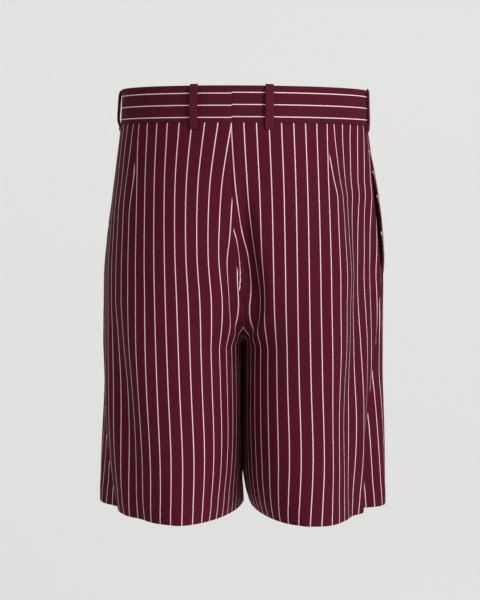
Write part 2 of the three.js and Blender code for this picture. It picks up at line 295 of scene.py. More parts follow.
FOLDS = (
    Fold(Leg.RIGHT, -40, -540, 56, 58, 36, -19, Shape.EVEN),
    Fold(Leg.RIGHT, -60, -430, 26, 14, 13, -4),
    Fold(Leg.RIGHT, -230, -503, 4, 0, 17, -25, Shape.OPEN),
    Fold(Leg.RIGHT, -290, -503, 40, 40, 34, -12, Shape.OPEN),
    Fold(Leg.RIGHT, -250, -503, -110, -112, 22, -6, Shape.OPEN),
    Fold(Leg.RIGHT, -240, -503, -158, -150, 20, 4, Shape.OPEN),
    Fold(Leg.LEFT, -300, -503, 4, 0, 20, -11, Shape.OPEN),
    Fold(Leg.LEFT, -80, -330, 34, 40, 14, -2.2),
    Fold(Leg.LEFT, -260, -503, -78, -84, 22, -6, Shape.OPEN),
    Fold(Leg.LEFT, -230, -503, -136, -130, 20, 4, Shape.OPEN),
    # The cleft of the seat
    Fold(None, -140, -302, 0, 0, 17, -14, Shape.SOFT, Anchor.CENTRE),
    Fold(Leg.RIGHT, -90, -320, 11, 15, 11, -16, Shape.SOFT, Anchor.CENTRE),
    Fold(Leg.LEFT, -140, -320, -9, -10, 9, -5, Shape.SOFT, Anchor.CENTRE),
    # The soft trough down the outer left leg
    Fold(Leg.LEFT, -250, -475, 90, 84, 24, -8),
    # Smaller creases
    Fold(Leg.LEFT, -44, -150, 93, 90, 7, 1.2),
    Fold(Leg.RIGHT, -44, -160, 92, 96, 7, 1.2),
    Fold(Leg.LEFT, -240, -503, 112, 100, 13, 1.6, Shape.OPEN),
    Fold(Leg.LEFT, -260, -503, 84, 74, 11, -2.0, Shape.OPEN),
    Fold(Leg.LEFT, -210, -480, 148, 146, 12, -1.4),
    Fold(Leg.RIGHT, -250, -503, 118, 112, 12, 1.4, Shape.OPEN),
    Fold(Leg.RIGHT, -270, -503, 146, 148, 12, -1.8, Shape.OPEN),
    Fold(Leg.LEFT, -300, -503, 60, 52, 9, 1.6, Shape.OPEN),
    Fold(Leg.RIGHT, -300, -503, 92, 84, 10, -1.6, Shape.OPEN),
    Fold(Leg.LEFT, -44, -240, -60, -66, 12, 1.4),
    Fold(Leg.RIGHT, -44, -240, -58, -66, 12, 1.4),
)


def own_heights(z: Array) -> Array:
    """Share of the seat's depth that the centre seam still has at a height.

    Args:
        z: The heights.

    Returns:
        The shares, from 1 on the seat to 0 at the crotch.
    """
    along = np.clip((-z - CURVE_DROP) / (CROTCH_DROP - CURVE_DROP), 0.0, 1.0)
    return (1 - along**CURVE_ROUNDNESS) ** (1 / CURVE_ROUNDNESS)


class Section:
    """Half sections of the form at many heights, from the back middle round to the front middle."""

    def __init__(self, z: Array, leg: Leg) -> None:
        """Work the sections out.

        Args:
            z: Height of each section.
            leg: The leg that they belong to.
        """
        self.z, self.leg = np.asarray(z, dtype=float), leg
        self.inner = ROUNDNESS.at("inner", self.z)
        share = FORM.at("middle", self.z) * own_heights(self.z)
        above = self.z > -CROTCH_DROP
        peak = FORM.at("peak", self.z)
        open_reach = peak / (1 - share**self.inner) ** (1 / self.inner)
        self.reach = np.where(above, open_reach, peak - LEG_SPACE.at(leg.value, self.z))
        limit = np.arcsin(np.minimum(1.0, (peak / self.reach) ** (self.inner / 2)))
        self.last = np.where(above, limit, math.pi / 2)
        parts = [
            [side[:, ::-1] for side in self.quarter(Face.BACK, True)],
            [side[:, 1:] for side in self.quarter(Face.BACK, False)],
            [side[:, ::-1][:, 1:] for side in self.quarter(Face.FRONT, False)],
            [side[:, 1:] for side in self.quarter(Face.FRONT, True)],
        ]
        self.x = np.concatenate([part[0] for part in parts], axis=1)
        self.y = np.concatenate([part[1] for part in parts], axis=1)
        steps = np.hypot(np.diff(self.x), np.diff(self.y))
        self.arcs = np.concatenate([np.zeros((len(steps), 1)), np.cumsum(steps, axis=1)], axis=1)
        self.total = self.arcs[:, -1]
        self.widest = self.arcs[:, 2 * SECTION_STEPS]

    def quarter(self, face: Face, is_inner: bool) -> tuple[Array, Array]:
        """One quarter of every section.

        Args:
            face: The back or the front.
            is_inner: True for the quarter between the deepest line and the middle.

        Returns:
            The quarters' x and y, from the deepest line outwards or inwards.
        """
        peak, half = FORM.at("peak", self.z)[:, None], FORM.at("half", self.z)[:, None]
        outer = ROUNDNESS.at(self.leg.value if face is Face.BACK else "front", self.z)
        power = (2 / (self.inner if is_inner else outer))[:, None]
        reach = -self.reach[:, None] if is_inner else half - peak
        angle = np.linspace(0, 1, SECTION_STEPS + 1) * (self.last[:, None] if is_inner else math.pi / 2)
        depth = FORM.at(face.value, self.z)[:, None] * (-1 if face is Face.BACK else 1)
        deep = np.maximum(0.0, np.cos(angle)) ** power
        return peak + reach * np.sin(angle) ** power, depth * deep

    def point(self, arc: Array) -> tuple[Array, Array]:
        """Points of the form.

        Args:
            arc: One arc length for each section, from the back middle and positive towards the right.

        Returns:
            The points' x and y.
        """
        own = self.leg.own
        away, side = arc * own, np.full_like(arc, own)
        joined = self.z > -STRAIGHT_DROP
        apart = self.z <= -CROTCH_DROP
        before, past = joined & (away < 0), joined & (away > self.total)
        side[before | past] = -own
        away = np.where(before, -away, np.where(past, 2 * self.total - away, away))
        away = np.where(~joined & ~apart, np.clip(away, 0, self.total), away)
        away = np.where(apart, np.mod(away, self.total), away)
        row = np.arange(len(away))
        low = np.clip((self.arcs <= away[:, None]).sum(axis=1) - 1, 0, self.arcs.shape[1] - 2)
        length = np.maximum(self.arcs[row, low + 1] - self.arcs[row, low], 1e-9)
        share = (away - self.arcs[row, low]) / length
        x = self.x[row, low] + (self.x[row, low + 1] - self.x[row, low]) * share
        y = self.y[row, low] + (self.y[row, low + 1] - self.y[row, low]) * share
        return side * x, y

    def seam(self, name: str) -> Array:
        """Arc length of a seam in every section.

        Args:
            name: side, back or front.

        Returns:
            The arc lengths.
        """
        own = self.leg.own
        turn = np.where(self.z > -STRAIGHT_DROP, SEAMS.at("turn", self.z), 0.0)
        if name == "side":
            return own * (self.widest - SEAMS.at(self.leg.value, self.z))
        return -turn if name == "back" else own * self.total - turn


def seam_arc(z: Array, leg: Leg, name: str) -> Array:
    """Arc length of a leg's seam at some heights."""
    return Section(z, leg).seam(name)


def face_points(z: Array, leg: Leg, arc: Array, out: Array | float) -> Array:
    """Points of the garment's face with its folds.

    Args:
        z: Heights of the points.
        leg: The leg that they are on.
        arc: Their arc lengths from the back middle.
        out: How far they stand off the face.

    Returns:
        One row of x, y and z for each point.
    """
    section = Section(z, leg)
    x, y = section.point(arc)
    x_before, y_before = section.point(arc - NORMAL_REACH)
    x_after, y_after = section.point(arc + NORMAL_REACH)
    across, along = x_after - x_before, y_after - y_before
    length = np.maximum(np.hypot(across, along), 1e-6)
    distances = {
        Anchor.SIDE: leg.own * (section.seam("side") - arc),
        Anchor.CENTRE: arc - section.seam("back"),
    }
    move = np.zeros_like(arc) + out
    for fold in FOLDS:
        if fold.leg is None or fold.leg is leg:
            move += fold.height(section.z, distances[fold.anchor])
    # Where the centre seams turn under, the cloth beside them moves only to the back or the front
    beside = np.minimum(np.abs(arc - section.seam("back")), np.abs(arc - section.seam("front")))
    turned = np.clip((-section.z - STRAIGHT_DROP) / 20 + 1, 0, 1) * (section.z > -CROTCH_DROP)
    sideways = move * (1 - turned * np.exp(-((beside / SEAM_HOLD) ** 2)))
    return np.stack([x + along / length * sideways, y - across / length * move, section.z], axis=1)


# How far from the middle plane one back stripe of each leg runs: the other stripes are counted from it
GRAIN = Table(
    "z left right",
    (-44, 89, 70),
    (-110, 91, 72),
    (-240, 89, 75),
    (-340, 86, 78),
    (-430, 82, 81),
    (-503, 82, 78),
)
FRONT_GRAIN = 84.0
# Distances between stripes: outward of the counted one, and inward of it on each leg's back
PITCH = Table(
    "z outward left right",
    (-44, 14.7, 15.45, 14.43),
    (-74, 14.4, 14.6, 14.2),
    (-130, 13.8, 13.2, 13.7),
    (-194, 13.5, 12.6, 13.5),
    (-250, 13.3, 13.2, 13.5),
    (-503, 13.3, 13.2, 13.9),
)
WOVEN_PITCH = 13.5
# Stripes by which the front's cloth slants away from the side seam low on the leg, and how far that reaches
FLARE = Table("z shift", (-44, 0), (-330, 0), (-400, 0.35), (-503, 1.1))
FLARE_REACH = 70.0

# Stripes that each dart takes in, and how far outward of the counted stripe its line runs
LEFT_DART = Table("z intake", (-42, 1.3), (-77, 0.85), (-110, 0.5), (-150, 0), (-503, 0))
RIGHT_DART = Table("z intake", (-42, 1.35), (-78, 0.83), (-105, 0.45), (-130, 0), (-503, 0))
DARTS = {Leg.LEFT: LEFT_DART, Leg.RIGHT: RIGHT_DART}
DART_PLACE = {Leg.LEFT: 47.0, Leg.RIGHT: 31.5}
FAR_FROM_DART = -100.0


class Cutting:
    """Distances along the cloth itself, folds included, on one leg."""

    STEP = 2.0
    REACH = 380.0
    LEVELS = 110
    GRAIN_REACH = 220.0

    def __init__(self, leg: Leg) -> None:
        """Measure the cloth round the leg at many heights.

        Args:
            leg: The leg.
        """
        self.leg = leg
        self.levels = np.linspace(0.0, -LENGTH, self.LEVELS)
        self.places = np.arange(-self.REACH, self.REACH + self.STEP, self.STEP)
        z, behind = (grid.ravel() for grid in np.meshgrid(self.levels, self.places, indexing="ij"))
        points = face_points(z, leg, seam_arc(z, leg, "side") - leg.own * behind, 0.0)
        points = points.reshape(len(self.levels), len(self.places), 3)
        steps = np.hypot(*np.moveaxis(np.diff(points[..., :2], axis=1), -1, 0))
        lengths = np.concatenate([np.zeros((len(self.levels), 1)), np.cumsum(steps, axis=1)], axis=1)
        middle = int(np.argmin(np.abs(self.places)))
        self.lengths = lengths - lengths[:, middle : middle + 1]
        self.outward = points[..., 0] * leg.own
        back = GRAIN.at(leg.value, self.levels)
        front = np.full_like(back, FRONT_GRAIN)
        self.grains = {Face.BACK: self.find(back, Face.BACK), Face.FRONT: self.find(front, Face.FRONT)}

    def find(self, outward: Array, face: Face) -> Array:
        """Cloth between the side seam and a line down the leg.

        Args:
            outward: How far the line is from the middle plane at each level.
            face: The back or the front, whichever the line is on.

        Returns:
            The line's distance along the cloth at each level.
        """
        sign = 1 if face is Face.BACK else -1
        # The side seam may lie past the widest place, from where on the cloth only runs inwards
        near = (self.places * sign >= 0) & (self.places * sign <= self.GRAIN_REACH)
        found = []
        for level, wanted in enumerate(outward):
            away, cloth = self.outward[level, near], self.lengths[level, near]
            order = np.argsort(cloth * sign)
            away, cloth = away[order], cloth[order]
            widest = int(np.argmax(away))
            found.append(np.interp(-wanted, -away[widest:], cloth[widest:]))
        return np.array(found)

    def grain(self, z: Array, face: Face) -> Array:
        """Cloth between the side seam and the counted stripe at some heights."""
        return np.interp(-z, -self.levels, self.grains[face])

    def beyond(self, z: Array, behind: Array, face: Face) -> Array:
        """Cloth from the counted stripe outwards to some points.

        Args:
            z: Heights of the points.
            behind: Their distances behind the side seam on the smooth form.
            face: The back or the front.

        Returns:
            Their distances, negative for those that lie inwards of the stripe.
        """
        sign = 1 if face is Face.BACK else -1
        return sign * (self.grain(z, face) - self.measure(z, behind))

    def measure(self, z: Array, behind: Array) -> Array:
        """Cloth between the side seam and some points.

        Args:
            z: Heights of the points.
            behind: Their distances behind the side seam on the smooth form.

        Returns:
            Their distances along the cloth.
        """
        row = np.clip((self.levels[0] - z) / (self.levels[0] - self.levels[1]), 0, len(self.levels) - 1.001)
        column = np.clip((behind + self.REACH) / self.STEP, 0, len(self.places) - 1.001)
        r, c = row.astype(int), column.astype(int)
        fr, fc = row - r, column - c
        upper = self.lengths[r, c] * (1 - fc) + self.lengths[r, c + 1] * fc
        lower = self.lengths[r + 1, c] * (1 - fc) + self.lengths[r + 1, c + 1] * fc
        return upper * (1 - fr) + lower * fr


CUTTINGS = {leg: Cutting(leg) for leg in Leg}


def stripe_number(z: Array, leg: Leg, ahead: Array, face: Face) -> Array:
    """Number of the stripe at some points, counted outwards and before any dart takes cloth in.

    Args:
        z: Heights of the points.
        leg: The leg.
        ahead: Their distances in front of the side seam on the smooth form.
        face: The back or the front.

    Returns:
        The numbers, whole ones on the stripes.
    """
    beyond = CUTTINGS[leg].beyond(z, -ahead, face)
    if face is Face.FRONT:
        return beyond / PITCH.at("outward", z) + FLARE.at("shift", z) * np.exp(-ahead / FLARE_REACH)
    return np.where(beyond < 0, beyond / PITCH.at(leg.value, z), beyond / PITCH.at("outward", z))


@dataclass
class Sheet:
    """A piece of cloth on the form, made from an even grid that is laid onto it."""

    name: str
    columns: int
    rows: int
    thickness: float

    def lay(self, across: Array, down: Array, out: float) -> Array:
        """Points of the piece.

        Args:
            across: Shares of the piece's breadth.
            down: Shares of its length.
            out: How far the points stand off its face.

        Returns:
            One row of x, y and z for each point.
        """
        raise NotImplementedError

    def cloth_map(self, across: Array, down: Array) -> dict[str, tuple[Array, Array]]:
        """Where the piece lies on its cloth, by the name of the UV map.

        Args:
            across: Shares of the piece's breadth.
            down: Shares of its length.

        Returns:
            The two coordinates of each map.
        """
        raise NotImplementedError

    def spread(self, shares: Array) -> Array:
        """Shares of the breadth, closer together at the seams."""
        return shares - 0.085 * np.sin(2 * math.pi * shares)

    def build(self) -> bpy.types.Object:
        """Make the piece.

        Returns:
            The piece's object, with its thickness and its UV maps.
        """
        shape = bmesh.new()
        bmesh.ops.create_grid(shape, x_segments=self.columns, y_segments=self.rows, size=1.0)
        shape.verts.ensure_lookup_table()
        flat = np.array([vert.co[:] for vert in shape.verts])
        across, down = self.spread((flat[:, 0] + 1) / 2), (1 - flat[:, 1]) / 2
        points = self.lay(across, down, 0.0)
        lifted = self.lay(across, down, 1.0)
        for vert, place in zip(shape.verts, points * MM):
            vert.co = place
        shape.normal_update()
        outward = sum(face.normal.dot(Vector(lifted[face.verts[0].index] - points[face.verts[0].index]))
                      for face in shape.faces)
        if outward < 0:
            bmesh.ops.reverse_faces(shape, faces=shape.faces)
        for title, (first, second) in self.cloth_map(across, down).items():
            layer = shape.loops.layers.uv.new(title)
            pairs = np.stack([first, second], axis=1).tolist()
            for face in shape.faces:
                for loop in face.loops:
                    loop[layer].uv = pairs[loop.vert.index]
        for edge in shape.edges:
            edge.smooth = not edge.is_boundary
        piece = finished(self.name, shape)
        wall = piece.modifiers.new("Cloth", "SOLIDIFY")
        wall.thickness = self.thickness * MM
        wall.offset = -1.0
        return piece


def finished(name: str, shape: bmesh.types.BMesh) -> bpy.types.Object:
    """Turn a shape in metres into a smooth object in the scene.

    Args:
        name: The object's name.
        shape: The shape, which is freed.

    Returns:
        The object.
    """
    mesh = bpy.data.meshes.new(name)
    shape.to_mesh(mesh)
    shape.free()
    mesh.polygons.foreach_set("use_smooth", [True] * len(mesh.polygons))
    piece = bpy.data.objects.new(name, mesh)
    bpy.context.scene.collection.objects.link(piece)
    return piece


@dataclass
class Panel(Sheet):
    """A leg's back or front, from the waist seam down and round the turned-up hem."""

    leg: Leg = Leg.LEFT
    face: Face = Face.BACK
    visible: float = 0.92
    turn_share: float = 0.4
    hem_round: float = 1.3

    def inner_height(self, share: Array) -> Array:
        """Height of a grid row on the centre seam and inseam.

        Args:
            share: Share of the panel's length above it.

        Returns:
            The heights.
        """
        row = share * 3
        turn = -CURVE_DROP - (CROTCH_DROP - CURVE_DROP) * np.sin(
            np.clip(row - 1, 0, 1) * math.pi / 2) ** (2 / CURVE_ROUNDNESS)
        seat = PANEL_TOP + (-CURVE_DROP - PANEL_TOP) * row
        leg = -CROTCH_DROP - (LENGTH - CROTCH_DROP) * (row - 2)
        return np.where(row <= 1, seat, np.where(row <= 2, turn, leg))

    def place(self, across: Array, down: Array) -> dict[str, Array]:
        """Where the piece's points lie on the form, before the hem's turn.

        Args:
            across: Shares of the piece's breadth.
            down: Shares of its length, the turned-up hem included.

        Returns:
            Height z, arc length, distance ahead of the side seam, breadth, and for the hem the swing round
            its lower edge and the rise inside.
        """
        shown = np.minimum(down / self.visible, 1.0)
        turned = np.maximum(0.0, (down - self.visible) / (1 - self.visible))
        swing = np.clip(turned / self.turn_share, 0, 1) * math.pi
        rise = (HEM_DEPTH - self.hem_round) * np.maximum(turned - self.turn_share, 0) / (1 - self.turn_share)
        side_z = PANEL_TOP + (-LENGTH - PANEL_TOP) * shown
        inner_z = self.inner_height(shown)
        z = side_z + (inner_z - side_z) * across**2 + rise
        inner = Section(inner_z + rise, self.leg)
        breadth = np.abs(inner.seam(self.face.value) - inner.seam("side")) - 2 * PARTING
        side = seam_arc(z, self.leg, "side")
        inwards = -self.leg.own if self.face is Face.BACK else self.leg.own
        arc = side + inwards * (PARTING + breadth * across)
        return {
            "z": z,
            "arc": arc,
            "ahead": self.leg.own * (arc - side),
            "breadth": breadth,
            "swing": swing,
            "rise": rise,
        }

    def relief(self, at: dict[str, Array], across: Array) -> Array:
        """The cloth's small relief: seams, the pocket's edge, darts, and light puckers.

        Args:
            at: What place returned.
            across: Shares of the piece's breadth.

        Returns:
            How far each point is lifted.
        """
        z, ahead = at["z"], at["ahead"]
        from_side, from_inner = across * at["breadth"], (1 - across) * at["breadth"]
        # The inseams lie leg against leg and have no groove
        groove = np.clip((z + STRAIGHT_DROP) / 20 + 1, 0, 1)
        lift = -0.9 * np.exp(-((from_side / 2.4) ** 2)) - 0.9 * groove * np.exp(-((from_inner / 2.4) ** 2))
        lift += 0.35 * np.exp(-(((from_side - 7) / 4) ** 2)) + 0.35 * np.exp(-(((from_inner - 7) / 4) ** 2))
        pucker = np.sin(z / 4.1 + 2.2 * np.sin(z / 31.0)) * (0.6 + 0.4 * np.sin(z / 17.0))
        lift += 0.16 * pucker * (np.exp(-((from_side / 9) ** 2)) + np.exp(-((from_inner / 9) ** 2)))
        lift += -0.5 * np.exp(-(((z - PANEL_TOP) / 2.5) ** 2))
        lift += 0.22 * np.sin(ahead / 9.0 + z / 23.0) * np.exp(-(((z + 52) / 12) ** 2))
        above_hem = z + LENGTH
        lift += 0.45 / (1 + np.exp(np.clip((above_hem - HEM_DEPTH) / 1.2, -30, 30)))
        lift += -0.3 * np.exp(-(((above_hem - HEM_DEPTH) / 1.8) ** 2)) * (0.7 + 0.3 * np.sin(ahead / 2.6))
        if self.face is Face.FRONT:
            return lift + pocket_lift(z, self.leg, ahead)
        dart, intake = self.dart(at)
        return lift + intake * (-0.7 * np.exp(-((dart / 2.2) ** 2)) + 0.5 * np.exp(-(((dart - 4) / 4) ** 2)))

    def dart(self, at: dict[str, Array]) -> tuple[Array, Array]:
        """Where the panel's points lie from its dart.

        Args:
            at: What place returned.

        Returns:
            Their distances outward of its line, and the stripes that it takes in at their heights.
        """
        beyond = CUTTINGS[self.leg].beyond(at["z"], -at["ahead"], Face.BACK)
        return beyond - DART_PLACE[self.leg], np.maximum(DARTS[self.leg].at("intake", at["z"]), 0.0)

    def lay(self, across: Array, down: Array, out: float) -> Array:
        """Points of the panel. See Sheet.lay for the arguments and the result."""
        at = self.place(across, down)
        z, swing, own = at["z"], at["swing"], self.leg.own
        # The hem turns under in a half circle and goes up inside
        lift = self.relief(at, across) - self.hem_round * (1 - np.cos(swing)) + out * np.cos(swing)
        points = face_points(z, self.leg, at["arc"], lift)
        points[:, 2] -= (self.hem_round + out) * np.sin(swing)
        points[:, 2] += self.hem_round * np.clip(1 - (z + LENGTH) / 12, 0, 1)
        clamped = (z <= -STRAIGHT_DROP) & (z > LEG_SPACE.heights[2])
        points[:, 0] = np.where(clamped, own * np.maximum(own * points[:, 0], PARTING), points[:, 0])
        # Where the legs press together the cloth waves from back to front, the same on both
        x, y = points[:, 0].copy(), points[:, 1]
        pressed = np.clip((-z - STRAIGHT_DROP - 8) / 30, 0, 1) * np.clip((z + LEGS_PART) / 30, 0, 1)
        points[:, 0] += 1.5 * pressed * np.sin(y / 8) * np.exp(-((y / 26) ** 2) - (x / 9) ** 2)
        return points

    def cloth_map(self, across: Array, down: Array) -> dict[str, tuple[Array, Array]]:
        """Stripe number and length down, and dart distance and intake."""
        at = self.place(across, down)
        z = at["z"]
        stripe = stripe_number(z, self.leg, at["ahead"], self.face)
        if self.face is Face.BACK:
            dart, intake = self.dart(at)
        else:
            dart, intake = np.full_like(z, FAR_FROM_DART), np.zeros_like(z)
        return {"Cloth": (stripe, (2 * at["rise"] - z) / WOVEN_PITCH), "Dart": (dart, intake)}


def pocket_lift(z: Array, leg: Leg, ahead: Array) -> Array:
    """How far a pocket's edge lifts the front panel.

    Args:
        z: Heights of the points.
        leg: The leg.
        ahead: Their distances in front of the side seam.

    Returns:
        The lifts.
    """
    along = np.clip((POCKET_TOP - z) / (POCKET_TOP - POCKET_BOTTOM), 0, 1)
    near = np.clip(1 - ahead / POCKET_REACH, 0, 1)
    return POCKET_LIFT[leg] * np.sin(math.pi * along**1.25).clip(0, 1) ** 0.7 * near * near


@dataclass
class Band(Sheet):
    """Half of the waistband: a strip that goes up outside, over the top edge and down inside."""

    leg: Leg = Leg.LEFT
    fold_round: float = 1.0

    def place(self, across: Array, down: Array) -> dict[str, Array]:
        """Where the strip's points lie.

        Args:
            across: Shares of the strip's length round the waist.
            down: Shares of its breadth, from the waist seam up and over.

        Returns:
            Height z, arc length, the swing over the top edge and the distance run along the breadth.
        """
        straight = BAND_HEIGHT - self.fold_round
        run = down * (2 * straight - 1 + math.pi * self.fold_round)
        swing = np.clip((run - straight) / self.fold_round, 0, math.pi)
        inside = np.maximum(run - straight - math.pi * self.fold_round, 0)
        z = -BAND_HEIGHT + np.minimum(run, straight) + self.fold_round * np.sin(swing) - inside
        passed = OVERLAP_LENGTH if self.leg is Leg.LEFT else -PARTING
        start = seam_arc(z, self.leg, "back") + self.leg.own * BAND_PARTING
        front = seam_arc(z, self.leg, "front")
        arc = start + (front + self.leg.own * passed - start) * across
        past = np.clip((self.leg.own * (arc - front) - RAMP_START) / (RAMP_END - RAMP_START), 0, 1)
        ramp = past * past * (3 - 2 * past) if self.leg is Leg.LEFT else np.zeros_like(past)
        return {"z": z, "arc": arc, "swing": swing, "run": run, "ramp": ramp}

    def lay(self, across: Array, down: Array, out: float) -> Array:
        """Points of the strip. See Sheet.lay for the arguments and the result."""
        at = self.place(across, down)
        lift = BAND_PROUD + at["ramp"] * (BAND_CLOTH + SEAM) - self.fold_round * (1 - np.cos(at["swing"]))
        lift += 0.12 * np.sin(at["arc"] / 21.0) * np.sin(at["z"] / 9.0) - 0.5 * np.exp(-((across / 0.004) ** 2))
        points = face_points(at["z"], self.leg, at["arc"], lift + out * np.cos(at["swing"]))
        points[:, 2] += out * np.sin(at["swing"])
        return points

    def cloth_map(self, across: Array, down: Array) -> dict[str, tuple[Array, Array]]:
        """Stripe number up the band, and length round it."""
        at = self.place(across, down)
        stripe = (BAND_HEIGHT - at["run"] - BAND_FIRST_STRIPE) / BAND_PITCH + BAND_SHIFT[self.leg]
        none = np.zeros_like(stripe)
        return {"Cloth": (stripe, at["arc"] / WOVEN_PITCH), "Dart": (none + FAR_FROM_DART, none)}


@dataclass
class BeltLoop(Sheet):
    """A belt loop: a plain strip, sewn down at both ends and standing off the band between them."""

    leg: Leg = Leg.LEFT
    place: str = "back"
    distance: float = 0.0
    slack: float = 1.0

    def height(self, z: Array) -> Array:
        """How far the loop's face stands off the form at some heights."""
        flat, full = LOOP_COURSE.at("flat", z), LOOP_COURSE.at("full", z)
        return flat + (full - flat) * self.slack + LOOP_CLOTH

    def middle(self) -> float:
        """Arc length of the loop's middle line."""
        return float(seam_arc(np.zeros(1), self.leg, self.place)[0]) + self.distance

    def lay(self, across: Array, down: Array, out: float) -> Array:
        """Points of the loop. See Sheet.lay for the arguments and the result."""
        z = LOOP_TOP + (LOOP_LOW - LOOP_TOP) * down
        edge = np.abs(2 * across - 1)
        ends = np.exp(-(((z - LOOP_TOP) / 1.2) ** 2)) + np.exp(-(((z - LOOP_LOW) / 1.5) ** 2))
        lift = self.height(z) - 0.35 * edge**6 + 0.15 * np.exp(-(((edge - 0.72) / 0.1) ** 2)) - 0.4 * ends
        arc = self.middle() + (across - 0.5) * LOOP_WIDTH
        return face_points(z, self.leg, arc, lift + out)

    def cloth_map(self, across: Array, down: Array) -> dict[str, tuple[Array, Array]]:
        """Plain lengths across and down the loop."""
        none = np.zeros_like(across)
        lengths = (across * LOOP_WIDTH / WOVEN_PITCH, down * (LOOP_TOP - LOOP_LOW) / WOVEN_PITCH)
        return {"Cloth": lengths, "Dart": (none + FAR_FROM_DART, none)}

    def tacks(self) -> Iterable[Array]:
        """The bar tacks that hold the loop's two ends.

        Yields:
            The two ends of one stitch, in millimetres.
        """
        for z in LOOP_TACKS:
            for step in np.linspace(-0.42, 0.42, 9) * LOOP_WIDTH:
                heights = np.array([z + 0.9, z - 0.9])
                arcs = np.full(2, self.middle() + step)
                yield face_points(heights, self.leg, arcs, self.height(heights) + 0.1)


@dataclass
class Fly(Sheet):
    """The fly's strip, over the centre front seam, with a curved lower end."""

    def reach(self, z: Array) -> Array:
        """How far the strip goes from the centre front at some heights."""
        low = np.clip((-FLY_DROP + FLY_CURVE - z) / FLY_CURVE, 0, 1)
        return FLY_WIDTH * np.sqrt(1 - low * low)

    def arc(self, across: Array, z: Array) -> Array:
        """Arc lengths of the strip's points from their shares across it and their heights."""
        width = np.maximum(self.reach(z) + FLY_OVERLAP, 2 * FLY_OVERLAP)
        return seam_arc(z, Leg.LEFT, "front") - FLY_OVERLAP + width * across

    def lay(self, across: Array, down: Array, out: float) -> Array:
        """Points of the strip. See Sheet.lay for the arguments and the result."""
        z = PANEL_TOP + (-FLY_DROP - PANEL_TOP) * down
        return face_points(z, Leg.LEFT, self.arc(across, z), SEAM + FLY_CLOTH + out)

    def cloth_map(self, across: Array, down: Array) -> dict[str, tuple[Array, Array]]:
        """Stripe number, which goes on from the left front panel, and length down."""
        z = PANEL_TOP + (-FLY_DROP - PANEL_TOP) * down
        ahead = Leg.LEFT.own * (self.arc(across, z) - seam_arc(z, Leg.LEFT, "side"))
        stripe = stripe_number(z, Leg.LEFT, ahead, Face.FRONT)
        none = np.zeros_like(stripe)
        return {"Cloth": (stripe, -z / WOVEN_PITCH), "Dart": (none + FAR_FROM_DART, none)}

    def stitching(self) -> Iterable[Array]:
        """The line of stitches that holds the fly's free edge and turns in at its lower end.

        Yields:
            The two ends of one stitch, in millimetres.
        """
        line = np.arange(PANEL_TOP - 3, -FLY_DROP + 3, -STITCH_STEP)
        for z in line:
            heights = np.array([z, z - STITCH_LENGTH])
            arcs = seam_arc(heights, Leg.LEFT, "front") + np.maximum(self.reach(heights) - 4, 0)
            yield face_points(heights, Leg.LEFT, arcs, SEAM + FLY_CLOTH + 0.1)


@dataclass
class PocketBag(Sheet):
    """A pocket bag's inner layer, behind the front panel."""

    leg: Leg = Leg.LEFT

    def lay(self, across: Array, down: Array, out: float) -> Array:
        """Points of the bag. See Sheet.lay for the arguments and the result."""
        low = BAG_BOTTOM - BAG_BELLY * np.sin(math.pi * across)
        z = BAG_TOP + (low - BAG_TOP) * down
        arc = seam_arc(z, self.leg, "side") + self.leg.own * (-BAG_BEHIND + (BAG_FRONT + BAG_BEHIND) * across)
        return face_points(z, self.leg, arc, out - (CLOTH + 2 * SEAM))

    def cloth_map(self, across: Array, down: Array) -> dict[str, tuple[Array, Array]]:
        """Plain lengths across and down the bag."""
        none = np.zeros_like(across)
        lengths = (across * (BAG_FRONT + BAG_BEHIND) / WOVEN_PITCH, down * (BAG_TOP - BAG_BOTTOM) / WOVEN_PITCH)
        return {"Cloth": lengths, "Dart": (none + FAR_FROM_DART, none)}

    def stitching(self) -> Iterable[Array]:
        """The stitches along the pocket's front edge.

        Yields:
            The two ends of one stitch, in millimetres.
        """
        ahead = np.full(2, POCKET_STITCH)
        for z in np.arange(POCKET_TOP, POCKET_BOTTOM, -STITCH_STEP):
            heights = np.array([z, z - STITCH_LENGTH])
            arcs = seam_arc(heights, self.leg, "side") + self.leg.own * ahead
            yield face_points(heights, self.leg, arcs, pocket_lift(heights, self.leg, ahead) + 0.55)

    def tacks(self) -> Iterable[Array]:
        """The bar tacks at the two ends of the pocket's opening.

        Yields:
            The two ends of one stitch, in millimetres.
        """
        for middle in (POCKET_TOP, POCKET_BOTTOM):
            for z in middle + np.linspace(-3, 3, 9):
                heights = np.array([z, z])
                arcs = seam_arc(heights, self.leg, "side") + self.leg.own * np.array([1.0, 3.0])
                yield face_points(heights, self.leg, arcs, 0.3)


@dataclass
class Thread:
    """Stitches of sewing thread, each a small rounded rod."""

    name: str
    width: float
    stitches: Iterable[Array]

    def build(self) -> bpy.types.Object:
        """Make the stitches as one piece.

        Returns:
            The piece's object.
        """
        shape = bmesh.new()
        for first, last in self.stitches:
            along = Vector(last - first)
            turn = along.to_track_quat("X", "Z").to_matrix().to_4x4()
            size = Matrix.Diagonal((along.length / 2 + self.width / 3, self.width / 2, self.width / 2, 1))
            place = Matrix.Translation(Vector((first + last) / 2) * MM) @ turn @ size @ Matrix.Scale(1, 4)
            place = place @ Matrix.Scale(MM, 4)
            bmesh.ops.create_icosphere(shape, subdivisions=1, radius=1.0, matrix=place)
        return finished(self.name, shape)


